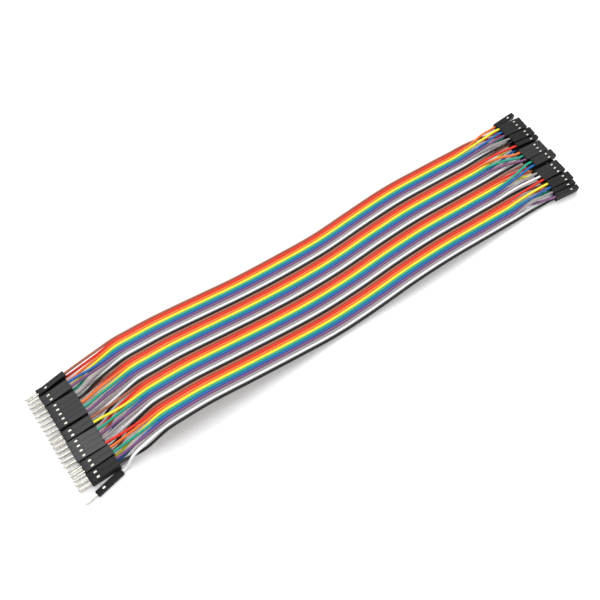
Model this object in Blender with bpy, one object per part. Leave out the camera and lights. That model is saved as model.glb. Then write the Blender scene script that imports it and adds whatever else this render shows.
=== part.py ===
"""Ribbon of forty bonded jumper wires with a pin at one end of each wire and a socket at the other.

The ribbon lies on a table. Its length runs along X, pin ends at -X and socket ends at +X, and +Z is up.
Wire 1 is at the far side (+Y) and wire 40 at the near side. Each wire ends in a black one-way crimp
housing at both ends. The housings lie two deep, the lower ones flat on the table.
"""
import math
from collections import namedtuple

import bmesh
import bpy
import numpy as np
from mathutils import Matrix, Vector

MM = 0.001

# Wires and ribbon
WIRE_COUNT = 40
WIRE_DIAMETER = 1.3 * MM
BOND_GAP = 0.06 * MM
WIRE_BEVEL_RESOLUTION = 2
# Each route point: distance along the ribbon, height of its far edge, height of its near edge, and how
# far the ribbon lies towards the far side there
RIBBON_ROUTE = (
    (-107.0 * MM, 9.2 * MM, 12.2 * MM, 2.6 * MM),
    (-85.0 * MM, 9.2 * MM, 13.1 * MM, 2.0 * MM),
    (-62.0 * MM, 6.7 * MM, 9.8 * MM, 1.3 * MM),
    (-38.0 * MM, 3.6 * MM, 6.2 * MM, 0.6 * MM),
    (-12.0 * MM, 2.1 * MM, 3.0 * MM, 0.1 * MM),
    (10.0 * MM, 1.3 * MM, 4.0 * MM, 0.0),
    (32.0 * MM, 3.8 * MM, 6.5 * MM, 0.0),
    (54.0 * MM, 5.9 * MM, 6.7 * MM, 0.0),
    (80.0 * MM, 4.4 * MM, 4.3 * MM, 0.0),
    (105.0 * MM, 2.3 * MM, 1.9 * MM, 0.0),
)
# Places along the ribbon where a wire's route has a point
RIBBON_STATIONS = (-107.0 * MM, -80.0 * MM, -30.0 * MM, 2.0 * MM, 50.0 * MM, 105.0 * MM)

# Crimp housing, one way
HOUSING_LENGTH = 14.0 * MM
HOUSING_WIDTH = 2.54 * MM
HOUSING_HEIGHT = 2.54 * MM
HOUSING_WALL = 0.3 * MM
FRONT_WALL = 0.8 * MM
FRONT_OPENING = 1.0 * MM
WINDOW_LENGTH = 2.2 * MM
WINDOW_WIDTH = 1.1 * MM
WINDOW_FROM_FRONT = 3.2 * MM

# Crimp terminals
TERMINAL_CLEARANCE = 0.15 * MM
CRIMP_LENGTH = 4.0 * MM
CRIMP_GRIP = 1.5 * MM
TERMINAL_STOP_GAP = 0.3 * MM
PIN_SIDE = 0.64 * MM
PIN_LENGTH = 6.0 * MM
PIN_TIP_LENGTH = 0.9 * MM
PIN_TIP_SIDE = 0.3 * MM
SOCKET_SIDE = 0.8 * MM
SOCKET_DEPTH = 6.0 * MM

# How the housings lie
LAYER_GAP = 0.3 * MM
SIDE_GAP = 0.35 * MM
MALE_LINE = -142.0 * MM
FEMALE_LINE = 146.3 * MM
MALE_LOWER_FAR_SIDE = 30.2 * MM
MALE_UPPER_FAR_SIDE = 24.75 * MM
FEMALE_LOWER_FAR_SIDE = 22.6 * MM
FEMALE_UPPER_FAR_SIDE = 22.6 * MM
FEMALE_LOWER_TURN = -7.0

# How the wires fan out from the ribbon to their housings. A fan point gives its share of the way to
# the housing, the share of the sideways move made there, and how far it lies above the straight line from
# the ribbon to the middle between the two layers.
FanPoint = namedtuple("FanPoint", "share spread level")
MOUTH_RUN = 1.2 * MM
UPPER_FAN = (FanPoint(0.35, 0.06, 1.1 * MM),)
LOWER_FAN = (FanPoint(0.35, 0.06, -1.1 * MM),)
# Wires that cross a neighbour, over it or under it
MALE_CROSSINGS = {
    39: (FanPoint(0.35, 0.0, 1.2 * MM), FanPoint(0.68, 0.5, 2.2 * MM)),
    40: (FanPoint(0.55, 0.2, -0.6 * MM),),
}
FEMALE_CROSSINGS = {
    3: (FanPoint(0.35, 0.03, 1.0 * MM), FanPoint(0.65, 0.6, 0.9 * MM)),
    37: (FanPoint(0.3, 0.03, 1.0 * MM), FanPoint(0.62, 0.5, 0.6 * MM)),
    38: (FanPoint(0.3, 0.05, 2.6 * MM), FanPoint(0.62, 0.5, 2.3 * MM)),
}

COLOURS = (
    ("brown", (0.33, 0.16, 0.10)),
    ("red", (0.87, 0.05, 0.02)),
    ("orange", (0.95, 0.19, 0.06)),
    ("yellow", (1.0, 0.83, 0.04)),
    ("green", (0.02, 0.35, 0.28)),
    ("blue", (0.03, 0.14, 0.50)),
    ("purple", (0.24, 0.09, 0.22)),
    ("grey", (0.37, 0.33, 0.33)),
    ("white", (0.93, 0.93, 0.93)),
    ("black", (0.012, 0.010, 0.010)),
)
HOUSING_BLACK = (0.018, 0.018, 0.019)

# One flush row of housings: its name, the wires in it from the far side to the near side,
# how far its front stands proud of the end line, the gap before it, and its turn in degrees
RowPlan = namedtuple("RowPlan", "name wires proud gap turn")
# A placed row: the front centre of its first housing, the direction out of its front, and its base height
Row = namedtuple("Row", "name wires front outward base")

MALE_LOWER = RowPlan(
    "male_lower_row",
    (2, 3, 4, 5, 9, 11, 12, 14, 16, 18, 19, 20, 22, 23, 26, 29, 30, 31, 34, 36, 38),
    0.0, 0.0, 0.0)
MALE_UPPER = (
    RowPlan("male_upper_row_a", (6, 7), 0.1 * MM, 0.0, 5.0),
    RowPlan("male_upper_row_b", (8, 10, 13, 15, 17), -0.2 * MM, 0.32 * MM, 0.0),
    RowPlan("male_upper_row_c", (21, 24), 0.1 * MM, 1.0 * MM, 1.5),
    RowPlan("male_upper_row_d", (25, 27, 28, 32), 0.2 * MM, 0.15 * MM, -1.5),
    RowPlan("male_upper_row_e", (33, 35), -0.3 * MM, 0.0, 2.0),
    RowPlan("male_upper_row_f", (37, 40), 0.1 * MM, 0.4 * MM, 2.0),
)
MALE_FAR_SINGLE = RowPlan("male_far_housing", (1,), -0.6 * MM, 0.9 * MM, 9.0)
MALE_NEAR_SINGLE = RowPlan("male_near_housing", (39,), 0.5 * MM, 0.0, 11.0)

FEMALE_LOWER = RowPlan(
    "female_lower_row",
    (1, 2, 5, 9, 11, 14, 16, 18, 19, 20, 21, 22, 23, 24, 27, 30, 31, 33, 35, 39, 40),
    0.0, 0.0, FEMALE_LOWER_TURN)
FEMALE_UPPER = (
    RowPlan("female_upper_row_a", (4, 6, 7), -0.2 * MM, 0.0, -7.0),
    RowPlan("female_upper_row_b", (8, 10), 0.85 * MM, 0.29 * MM, -8.0),
    RowPlan("female_upper_row_c", (12,), 0.8 * MM, 0.36 * MM, -8.0),
    RowPlan("female_upper_row_d", (13, 15, 17), -0.2 * MM, 1.0 * MM, -5.0),
    RowPlan("female_upper_row_e", (25, 26), 1.4 * MM, 0.15 * MM, -5.0),
    RowPlan("female_upper_row_f", (28, 29, 32), -0.5 * MM, 1.6 * MM, -4.0),
    RowPlan("female_upper_row_g", (34, 36), 0.2 * MM, 0.4 * MM, -7.0),
    RowPlan("female_upper_row_h", (38,), -0.9 * MM, 0.0, -8.0),
    RowPlan("female_upper_row_i", (37,), -1.2 * MM, 0.05 * MM, -9.0),
)
FEMALE_FAR_SINGLE = RowPlan("female_far_housing", (3,), 1.0 * MM, 0.75 * MM, 3.0)

# Sizes that follow from the ones above
WIRE_PITCH = WIRE_DIAMETER + BOND_GAP
CAVITY_WIDTH = HOUSING_WIDTH - 2 * HOUSING_WALL
CAVITY_HEIGHT = HOUSING_HEIGHT - 2 * HOUSING_WALL
CAVITY_LENGTH = HOUSING_LENGTH - FRONT_WALL
TERMINAL_WIDTH = CAVITY_WIDTH - 2 * TERMINAL_CLEARANCE
TERMINAL_HEIGHT = CAVITY_HEIGHT - 2 * TERMINAL_CLEARANCE
TERMINAL_FRONT = CAVITY_LENGTH - TERMINAL_STOP_GAP
UPPER_BASE = HOUSING_HEIGHT + LAYER_GAP
CUT_MARGIN = 1.0 * MM


def clear_scene():
    """Remove every object of the open file."""
    for item in list(bpy.data.objects):
        bpy.data.objects.remove(item, do_unlink=True)


def make_material(name, colour, roughness, metallic=0.0):
    """A Principled material of one colour."""
    material = bpy.data.materials.new(name)
    material.use_nodes = True
    shader = material.node_tree.nodes["Principled BSDF"]
    shader.inputs["Base Color"].default_value = (*colour, 1.0)
    shader.inputs["Roughness"].default_value = roughness
    shader.inputs["Metallic"].default_value = metallic
    material.diffuse_color = (*colour, 1.0)
    return material


def add_object(name, mesh, material=None):
    """Link a mesh into the scene under a name."""
    item = bpy.data.objects.new(name, mesh)
    bpy.context.scene.collection.objects.link(item)
    if material is not None:
        item.data.materials.append(material)
    return item


def add_helper(name, mesh):
    """Link a cutter or a joined part, which is drawn as wire and is no piece of its own."""
    item = add_object(name, mesh)
    item.hide_render = True
    item.display_type = "WIRE"
    return item


def add_boolean(item, helper, operation):
    """Let another mesh cut an object or join it."""
    modifier = item.modifiers.new(operation.lower(), "BOOLEAN")
    modifier.operation = operation
    modifier.solver = "EXACT"
    modifier.object = helper


def box_grid_mesh(name, boxes):
    """A mesh of separate boxes, each given by its lowest and highest corner."""
    shape = bmesh.new()
    for low, high in boxes:
        size = Vector(high) - Vector(low)
        middle = (Vector(high) + Vector(low)) / 2
        matrix = Matrix.Translation(middle) @ Matrix.Diagonal((*size, 1.0))
        bmesh.ops.create_cube(shape, size=1.0, matrix=matrix)
    mesh = bpy.data.meshes.new(name)
    shape.to_mesh(mesh)
    shape.free()
    return mesh


def housing_cavities(count):
    """The three sets of cutters of a flush row: rear bores, front openings and latch windows.

    In a row's own frame the front faces look along +X at X = 0, housing number k has its middle at
    Y = -k * HOUSING_WIDTH, and the base lies at Z = 0.
    """
    bores, openings, windows = [], [], []
    middle = HOUSING_HEIGHT / 2
    for index in range(count):
        across = -index * HOUSING_WIDTH
        bores.append((
            (-HOUSING_LENGTH - CUT_MARGIN, across - CAVITY_WIDTH / 2, middle - CAVITY_HEIGHT / 2),
            (-FRONT_WALL, across + CAVITY_WIDTH / 2, middle + CAVITY_HEIGHT / 2)))
        openings.append((
            (-FRONT_WALL - HOUSING_WALL, across - FRONT_OPENING / 2, middle - FRONT_OPENING / 2),
            (CUT_MARGIN, across + FRONT_OPENING / 2, middle + FRONT_OPENING / 2)))
        windows.append((
            (-WINDOW_FROM_FRONT - WINDOW_LENGTH, across - WINDOW_WIDTH / 2, middle),
            (-WINDOW_FROM_FRONT, across + WINDOW_WIDTH / 2, HOUSING_HEIGHT + CUT_MARGIN)))
    return bores, openings, windows


def row_matrix(row):
    """The transform from a row's own frame to its place at one end of the ribbon."""
    outward = row.outward
    side = Vector((-outward.y, outward.x, 0.0))
    if outward.x < 0:
        side = -side
    up = Vector((0.0, 0.0, 1.0))
    return Matrix((
        (outward.x, side.x, up.x, row.front.x),
        (outward.y, side.y, up.y, row.front.y),
        (0.0, 0.0, 1.0, row.base),
        (0.0, 0.0, 0.0, 1.0)))


def make_row(row, material):
    """One flush row of crimp housings, hollow, with a wire mouth, a front opening and a latch window each."""
    count = len(row.wires)
    body = box_grid_mesh(row.name, [(
        (-HOUSING_LENGTH, -(count - 0.5) * HOUSING_WIDTH, 0.0),
        (0.0, HOUSING_WIDTH / 2, HOUSING_HEIGHT))])
    item = add_object(row.name, body, material)
    matrix = row_matrix(row)
    cutters = []
    for kind, boxes in zip(("bores", "openings", "windows"), housing_cavities(count)):
        cutters.append(add_helper(f"{row.name}_{kind}", box_grid_mesh(f"{row.name}_{kind}", boxes)))
    for shape in [item, *cutters]:
        shape.data.transform(matrix)
        if matrix.determinant() < 0:
            shape.data.flip_normals()
    for cutter in cutters:
        add_boolean(item, cutter, "DIFFERENCE")


def turned(sign, degrees):
    """The unit direction out of a front that looks along X times sign, its rear turned by an angle."""
    angle = math.radians(degrees)
    return Vector((sign * math.cos(angle), sign * math.sin(angle), 0.0))


def near_direction(outward):
    """The unit direction from a row's first housing to its next one, towards the near side."""
    side = Vector((-outward.y, outward.x, 0.0))
    return side if side.y < 0 else -side


def place_row(plan, sign, line, far_side, base):
    """A row whose far front corner lies at far_side, its front proud of the end line."""
    outward = turned(sign, plan.turn)
    corner = Vector((line + sign * plan.proud, far_side, 0.0))
    front = corner + near_direction(outward) * (HOUSING_WIDTH / 2)
    return Row(plan.name, plan.wires, front, outward, base)


def near_corner(row):
    """The near front corner of a placed row."""
    return row.front + near_direction(row.outward) * ((len(row.wires) - 0.5) * HOUSING_WIDTH)


def rear_closing(turn_before, turn_after, sign):
    """How much closer two rows lie at their rear than at their front, from their turns."""
    before = math.sin(math.radians(turn_before))
    after = math.sin(math.radians(turn_after))
    return max(0.0, -sign * (after - before)) * HOUSING_LENGTH


def place_upper_rows(plans, sign, line_at, far_side):
    """The rows of an upper layer, one after another from the far side to the near side."""
    rows = []
    edge = far_side
    before = plans[0].turn
    for plan in plans:
        edge -= plan.gap + SIDE_GAP + rear_closing(before, plan.turn, sign)
        row = place_row(plan, sign, line_at(edge), edge, UPPER_BASE)
        rows.append(row)
        edge = near_corner(row).y
        before = plan.turn
    return rows


def place_male_rows():
    """All the housings at the pin ends."""
    lower = place_row(MALE_LOWER, -1, MALE_LINE, MALE_LOWER_FAR_SIDE, 0.0)
    rows = [lower]
    rows += place_upper_rows(MALE_UPPER, -1, lambda edge: MALE_LINE, MALE_UPPER_FAR_SIDE)
    far_edge = MALE_UPPER_FAR_SIDE + MALE_FAR_SINGLE.gap + HOUSING_WIDTH
    rows.append(place_row(MALE_FAR_SINGLE, -1, MALE_LINE, far_edge, UPPER_BASE))
    swing = math.sin(math.radians(MALE_NEAR_SINGLE.turn)) * HOUSING_LENGTH
    near_edge = near_corner(lower).y - SIDE_GAP - swing
    rows.append(place_row(MALE_NEAR_SINGLE, -1, MALE_LINE, near_edge, 0.0))
    return rows


def place_female_rows():
    """All the housings at the socket ends, whose end line is turned like their lower row."""
    lower = place_row(FEMALE_LOWER, 1, FEMALE_LINE, FEMALE_LOWER_FAR_SIDE, 0.0)
    slope = math.tan(math.radians(-FEMALE_LOWER_TURN))

    def line_at(edge):
        return FEMALE_LINE - (FEMALE_LOWER_FAR_SIDE - edge) * slope

    rows = [lower]
    rows += place_upper_rows(FEMALE_UPPER, 1, line_at, FEMALE_UPPER_FAR_SIDE)
    swing = math.sin(math.radians(FEMALE_FAR_SINGLE.turn - FEMALE_LOWER_TURN)) * HOUSING_LENGTH
    far_edge = FEMALE_LOWER_FAR_SIDE + SIDE_GAP + HOUSING_WIDTH + swing + FEMALE_FAR_SINGLE.gap
    rows.append(place_row(FEMALE_FAR_SINGLE, 1, FEMALE_LINE, far_edge, 0.0))
    return rows


def rest_centre(rows):
    """The middle of the table area that the housings lie on, which becomes the part's origin."""
    corners = []
    for row in rows:
        step = near_direction(row.outward) * HOUSING_WIDTH
        for across in (-0.5, len(row.wires) - 0.5):
            for back in (0.0, HOUSING_LENGTH):
                corners.append(row.front + step * across - row.outward * back)
    middle = [(max(values) + min(values)) / 2 for values in zip(*corners)]
    return Vector((middle[0], middle[1], 0.0))


def housing_seats(rows):
    """For each wire, the front centre of its housing's middle axis and the direction out of that front."""
    seats = {}
    for row in rows:
        step = near_direction(row.outward) * HOUSING_WIDTH
        middle = Vector((0.0, 0.0, row.base + HOUSING_HEIGHT / 2))
        for index, wire in enumerate(row.wires):
            seats[wire] = (row.front + step * index + middle, row.outward)
    return seats


def smooth_route():
    """The ribbon's stations and, at each, the heights of both edges and the shift towards the far side.

    The curve is a chain of cubics whose slope at each route point is that of the line between the
    points on either side of it.
    """
    route = np.array(RIBBON_ROUTE)
    along = route[:, 0]
    slopes = np.gradient(route[:, 1:], along, axis=0)
    stations = np.array(RIBBON_STATIONS)
    index = np.clip(np.searchsorted(along, stations, side="right") - 1, 0, len(along) - 2)
    span = (along[index + 1] - along[index])[:, None]
    part = (stations[:, None] - along[index][:, None]) / span
    values = (
        (2 * part ** 3 - 3 * part ** 2 + 1) * route[index, 1:]
        + (part ** 3 - 2 * part ** 2 + part) * span * slopes[index]
        + (3 * part ** 2 - 2 * part ** 3) * route[index + 1, 1:]
        + (part ** 3 - part ** 2) * span * slopes[index + 1])
    return stations, values


def fan_points(start, seat, crossing):
    """Points of one wire from the ribbon's end to inside its housing.

    The wire first leaves the ribbon's plane, up or down towards its layer, and then moves sideways to
    its housing, so that wires of two layers pass over each other. It runs straight into the housing.
    """
    front, outward = seat
    mouth = front - outward * (HOUSING_LENGTH + MOUTH_RUN)
    inner = front - outward * (HOUSING_LENGTH - CRIMP_LENGTH - CRIMP_GRIP)
    middle = (UPPER_BASE + HOUSING_HEIGHT) / 2
    fan = crossing or (UPPER_FAN if mouth.z > middle else LOWER_FAN)
    points = []
    for point in fan:
        x = start.x + (mouth.x - start.x) * point.share
        y = start.y + (mouth.y - start.y) * point.spread
        z = start.z + (middle - start.z) * point.share + point.level
        points.append(Vector((x, y, z)))
    return [*points, mouth, inner]


def wire_points(number, male_seats, female_seats, stations, route):
    """The whole route of one wire, from its pin's crimp to its socket's crimp."""
    across = ((WIRE_COUNT - 1) / 2 - (number - 1)) * WIRE_PITCH
    share = (number - 1) / (WIRE_COUNT - 1)
    ribbon = [
        Vector((x, across + aside, far + (near - far) * share))
        for x, (far, near, aside) in zip(stations, route)]
    male = fan_points(ribbon[0], male_seats[number], MALE_CROSSINGS.get(number))
    female = fan_points(ribbon[-1], female_seats[number], FEMALE_CROSSINGS.get(number))
    return [*reversed(male), *ribbon, *female]


def tube_mesh(name, points):
    """The mesh of a round tube with closed ends along a line of points."""
    curve = bpy.data.curves.new(name, "CURVE")
    curve.dimensions = "3D"
    curve.bevel_depth = WIRE_DIAMETER / 2
    curve.bevel_resolution = WIRE_BEVEL_RESOLUTION
    curve.use_fill_caps = True
    curve.twist_mode = "Z_UP"
    spline = curve.splines.new("POLY")
    spline.points.add(len(points) - 1)
    for point, place in zip(spline.points, points):
        point.co = (*place, 1.0)
    guide = bpy.data.objects.new(f"{name}_guide", curve)
    bpy.context.scene.collection.objects.link(guide)
    bpy.context.view_layer.update()
    mesh = bpy.data.meshes.new_from_object(guide.evaluated_get(bpy.context.evaluated_depsgraph_get()))
    bpy.data.objects.remove(guide, do_unlink=True)
    return mesh


def prism_mesh(name, sections):
    """A closed mesh through square sections along X, each given by its place, width and height."""
    shape = bmesh.new()
    rings = []
    for place, width, height in sections:
        corners = ((-1, -1), (1, -1), (1, 1), (-1, 1))
        rings.append([shape.verts.new((place, y * width / 2, z * height / 2)) for y, z in corners])
    for ring, following in zip(rings, rings[1:]):
        for index in range(4):
            after = (index + 1) % 4
            shape.faces.new((ring[index], ring[after], following[after], following[index]))
    shape.faces.new(tuple(reversed(rings[0])))
    shape.faces.new(tuple(rings[-1]))
    bmesh.ops.recalc_face_normals(shape, faces=shape.faces)
    mesh = bpy.data.meshes.new(name)
    shape.to_mesh(mesh)
    shape.free()
    return mesh


def male_terminal_sections():
    """Crimp and body behind the front wall, then the square pin with its tapered tip, from the rear on."""
    rear = CRIMP_LENGTH - HOUSING_LENGTH
    body_front = TERMINAL_FRONT - HOUSING_LENGTH
    return (
        (rear, TERMINAL_WIDTH, TERMINAL_HEIGHT),
        (body_front, TERMINAL_WIDTH, TERMINAL_HEIGHT),
        (body_front, PIN_SIDE, PIN_SIDE),
        (PIN_LENGTH - PIN_TIP_LENGTH, PIN_SIDE, PIN_SIDE),
        (PIN_LENGTH, PIN_TIP_SIDE, PIN_TIP_SIDE))


def female_terminal_sections():
    """Crimp and box, with the square socket sunk into the box from its front."""
    rear = CRIMP_LENGTH - HOUSING_LENGTH
    body_front = TERMINAL_FRONT - HOUSING_LENGTH
    return (
        (rear, TERMINAL_WIDTH, TERMINAL_HEIGHT),
        (body_front, TERMINAL_WIDTH, TERMINAL_HEIGHT),
        (body_front, SOCKET_SIDE, SOCKET_SIDE),
        (body_front - SOCKET_DEPTH, SOCKET_SIDE, SOCKET_SIDE))


def seat_matrix(seat):
    """The transform from a terminal's own frame to its seat in a housing."""
    front, outward = seat
    side = Vector((0.0, 0.0, 1.0)).cross(outward)
    matrix = Matrix((
        (outward.x, side.x, 0.0, front.x),
        (outward.y, side.y, 0.0, front.y),
        (0.0, 0.0, 1.0, front.z),
        (0.0, 0.0, 0.0, 1.0)))
    return matrix


def make_wire(number, points, male_seat, female_seat, material):
    """One insulated wire with the pin terminal and the socket terminal that are crimped on its ends."""
    colour = COLOURS[(number - 1) % len(COLOURS)][0]
    name = f"wire_{number:02d}_{colour}"
    item = add_object(name, tube_mesh(name, points), material)
    for end, sections, seat in (
            ("pin", male_terminal_sections(), male_seat),
            ("socket", female_terminal_sections(), female_seat)):
        mesh = prism_mesh(f"{name}_{end}", sections)
        mesh.transform(seat_matrix(seat))
        add_boolean(item, add_helper(f"{name}_{end}", mesh), "UNION")
    item.data.shade_smooth()
    item.data.set_sharp_from_angle(angle=math.radians(50))


def main():
    """Build the housings at both ends and the forty wires between them."""
    clear_scene()
    housing_material = make_material("housing_black", HOUSING_BLACK, 0.55)
    male_rows = place_male_rows()
    female_rows = place_female_rows()
    for row in [*male_rows, *female_rows]:
        make_row(row, housing_material)
    male_seats = housing_seats(male_rows)
    female_seats = housing_seats(female_rows)
    stations, route = smooth_route()
    materials = [make_material(f"wire_{name}", colour, 0.4) for name, colour in COLOURS]
    for number in range(1, WIRE_COUNT + 1):
        points = wire_points(number, male_seats, female_seats, stations, route)
        material = materials[(number - 1) % len(materials)]
        make_wire(number, points, male_seats[number], female_seats[number], material)
    to_origin = Matrix.Translation(-rest_centre([*male_rows, *female_rows]))
    for item in bpy.data.objects:
        item.data.transform(to_origin)


main()
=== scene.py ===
"""Looks of a rainbow ribbon of bonded jumper wires, lying on a white table.

Each wire is a free cord with a stamped pin crimped on one end and a stamped socket on the other, each
terminal seated in a one-way crimp housing. The housings lie two deep at both ends of the ribbon.
"""
from __future__ import annotations

import logging
import math
from dataclasses import dataclass, field, replace
from enum import Enum
from typing import NamedTuple

import bpy
import numpy as np
from mathutils import Matrix, Vector


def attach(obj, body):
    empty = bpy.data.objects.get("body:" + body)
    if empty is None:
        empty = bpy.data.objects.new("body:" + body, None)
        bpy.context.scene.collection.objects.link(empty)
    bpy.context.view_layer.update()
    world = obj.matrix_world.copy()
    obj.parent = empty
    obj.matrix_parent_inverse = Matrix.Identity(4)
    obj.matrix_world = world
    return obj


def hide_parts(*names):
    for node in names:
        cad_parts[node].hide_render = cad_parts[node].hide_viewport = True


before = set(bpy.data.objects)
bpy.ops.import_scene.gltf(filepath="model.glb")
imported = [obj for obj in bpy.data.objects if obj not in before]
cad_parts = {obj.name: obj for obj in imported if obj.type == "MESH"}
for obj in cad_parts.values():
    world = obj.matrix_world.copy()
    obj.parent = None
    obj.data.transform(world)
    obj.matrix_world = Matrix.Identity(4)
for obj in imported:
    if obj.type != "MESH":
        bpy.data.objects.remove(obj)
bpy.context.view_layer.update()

MM = 0.001
LOG = logging.getLogger("ribbon")

# The middle of the housings' resting area in the ribbon's own coordinates, which the frame puts at zero
ORIGIN = Vector((2.4665 * MM, -0.452 * MM, 0.0))

# Points of a rounded square's side: four on the side and one at its corner
SIDE_POINTS = 5
# Where the two inner points of a short side lie, as a share of the way to its corner's rounding
SHORT_SIDE_SHARE = 0.7

Rgb = tuple[float, float, float]
Rgba = tuple[float, float, float, float]
Triple = tuple[float, float, float]


class WireColour(Enum):
    """The ten insulation colours in their order across the ribbon, as sRGB values."""

    BROWN = (163, 98, 76)
    RED = (230, 50, 32)
    ORANGE = (244, 122, 54)
    YELLOW = (251, 238, 62)
    GREEN = (34, 164, 138)
    BLUE = (32, 102, 176)
    PURPLE = (128, 82, 128)
    GREY = (160, 152, 154)
    WHITE = (246, 246, 248)
    BLACK = (8, 6, 6)

    @property
    def label(self) -> str:
        """The colour's name in lower case."""
        return self.name.lower()

    @classmethod
    def of_wire(cls, number: int) -> WireColour:
        """The colour of a wire counted from 1 at the far side."""
        return list(cls)[(number - 1) % len(cls)]


class Contact(Enum):
    """The two kinds of terminal, each with the way along X that its front faces."""

    PIN = -1
    SOCKET = 1

    @property
    def label(self) -> str:
        """The kind's name in lower case."""
        return self.name.lower()


def linear(rgb: Rgb) -> Rgba:
    """Turn an sRGB colour of 0 to 255 into a linear colour with alpha.

    The sRGB curve is a straight line up to a share of 0.04045, and a power of 2.4 beyond it.

    Args:
        rgb: The three sRGB values.

    Returns:
        The linear red, green and blue and an alpha of 1.
    """
    share = np.asarray(rgb, float) / 255
    value = np.where(share <= 0.04045, share / 12.92, ((share + 0.055) / 1.055) ** 2.4)
    return (*value.tolist(), 1.0)


class Plan(NamedTuple):
    """One flush row of housings, as the ribbon's maker would lay it.

    It gives the row's node, its wires from the far side on, how far its front stands proud of the end
    line, the gap before it, its turn in degrees, and its shade, from black at 0 to dark grey at 1. The
    shade is painted light: a lighter tone for rows whose tops reflect more light and a darker one for
    rows whose tops reflect less.
    """

    node: str
    wires: tuple[int, ...]
    proud: float
    gap: float
    turn: float
    shade: float


class FanPoint(NamedTuple):
    """A point of a wire between the ribbon and its housing.

    It gives the share of the way to the housing, the share of the sideways move that is made there, and
    the height above the straight line from the ribbon to the middle between the two layers.
    """

    share: float
    spread: float
    level: float


Fan = tuple[FanPoint, ...]


class Seat(NamedTuple):
    """Where a housing lies: the middle of its front face, and the unit direction out of it."""

    point: Vector
    outward: Vector


@dataclass(frozen=True)
class HousingSize:
    """Sizes of a one-way crimp housing and of the gaps around it, in metres."""

    length: float = 14.0 * MM
    width: float = 2.54 * MM
    height: float = 2.54 * MM
    wall: float = 0.3 * MM
    front_wall: float = 0.8 * MM
    opening: float = 1.0 * MM
    window_length: float = 2.2 * MM
    window_width: float = 1.1 * MM
    window_from_front: float = 3.2 * MM
    crimp_length: float = 4.0 * MM
    crimp_grip: float = 1.5 * MM
    clearance: float = 0.15 * MM
    stop_gap: float = 0.3 * MM
    layer_gap: float = 0.3 * MM
    side_gap: float = 0.35 * MM

    @property
    def upper_base(self) -> float:
        """Height of the upper layer's base."""
        return self.height + self.layer_gap

    def swing(self, turn: float) -> float:
        """How far a turn in degrees carries a housing's rear end sideways."""
        return math.sin(math.radians(turn)) * self.length


SIZE = HousingSize()


@dataclass(frozen=True)
class Row:
    """A placed row: the front centre of its first housing, the way out of it and its base's height."""

    plan: Plan
    front: Vector
    outward: Vector
    base: float

    @property
    def near(self) -> Vector:
        """The unit direction from the first housing to the next."""
        side = Vector((-self.outward.y, self.outward.x, 0.0))
        return side if side.y < 0 else -side

    @property
    def near_corner(self) -> Vector:
        """The front corner at the near end of the row."""
        return self.front + self.near * ((len(self.plan.wires) - 0.5) * SIZE.width)

    def seat(self, index: int) -> Seat:
        """The seat of one housing, in the frame.

        Args:
            index: The housing's place in the row, from 0.

        Returns:
            The seat.
        """
        point = self.front + self.near * (SIZE.width * index) - ORIGIN
        point.z = self.base + SIZE.height / 2
        return Seat(point, self.outward)


@dataclass
class HousingBank:
    """All the housings at one end of the ribbon, laid out as the frame's nodes are.

    The end line passes through the lower row's front, and line says where it does so along the ribbon.
    The two far sides are where the layers' far front corners lie across it.
    """

    contact: Contact
    line: float
    lower_far_side: float
    upper_far_side: float
    lower: Plan
    upper: tuple[Plan, ...]
    far_single: Plan
    near_single: Plan | None = None
    rows: list[Row] = field(default_factory=list)

    @property
    def sign(self) -> int:
        """The way along X that the housings' fronts face."""
        return self.contact.value

    def place(self, plan: Plan, line: float, far_side: float, base: float) -> Row:
        """Place one row by its far front corner.

        Args:
            plan: The row's housings, turn and offset.
            line: Where the end line lies along the ribbon.
            far_side: Where the row's far front corner lies across it.
            base: Height of the row's base.

        Returns:
            The placed row.
        """
        angle = math.radians(plan.turn)
        outward = Vector((self.sign * math.cos(angle), self.sign * math.sin(angle), 0.0))
        row = Row(plan, Vector((line + self.sign * plan.proud, far_side, 0.0)), outward, base)
        return replace(row, front=row.front + row.near * (SIZE.width / 2))

    def line_at(self, edge: float) -> float:
        """Where the end line lies at a place across the ribbon, as it is turned like the lower row."""
        slope = math.tan(math.radians(-self.lower.turn))
        return self.line - (self.lower_far_side - edge) * slope

    def lay_out(self) -> None:
        """Place the lower row, then the upper rows from the far side on, then the single housings."""
        lower = self.place(self.lower, self.line, self.lower_far_side, 0.0)
        self.rows = [lower]
        edge = self.upper_far_side
        before = self.upper[0].turn
        for plan in self.upper:
            closing = max(0.0, -self.sign * (SIZE.swing(plan.turn) - SIZE.swing(before)))
            edge -= plan.gap + SIZE.side_gap + closing
            self.rows.append(self.place(plan, self.line_at(edge), edge, SIZE.upper_base))
            edge = self.rows[-1].near_corner.y
            before = plan.turn
        self.rows.append(self.place_far_single())
        if self.near_single is not None:
            edge = lower.near_corner.y - SIZE.side_gap - SIZE.swing(self.near_single.turn)
            self.rows.append(self.place(self.near_single, self.line, edge, 0.0))

    def place_far_single(self) -> Row:
        """Place the far side's housing, on the lower row at the pin ends and else on the table.

        Returns:
            The placed row of one housing.
        """
        plan = self.far_single
        if self.contact is Contact.PIN:
            edge = self.upper_far_side + plan.gap + SIZE.width
            return self.place(plan, self.line, edge, SIZE.upper_base)
        swing = SIZE.swing(plan.turn - self.lower.turn)
        edge = self.lower_far_side + SIZE.side_gap + SIZE.width + swing + plan.gap
        return self.place(plan, self.line, edge, 0.0)

    def seats(self) -> dict[int, Seat]:
        """The seat of each wire's housing by the wire's number."""
        return {
            wire: row.seat(index)
            for row in self.rows for index, wire in enumerate(row.plan.wires)}


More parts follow.
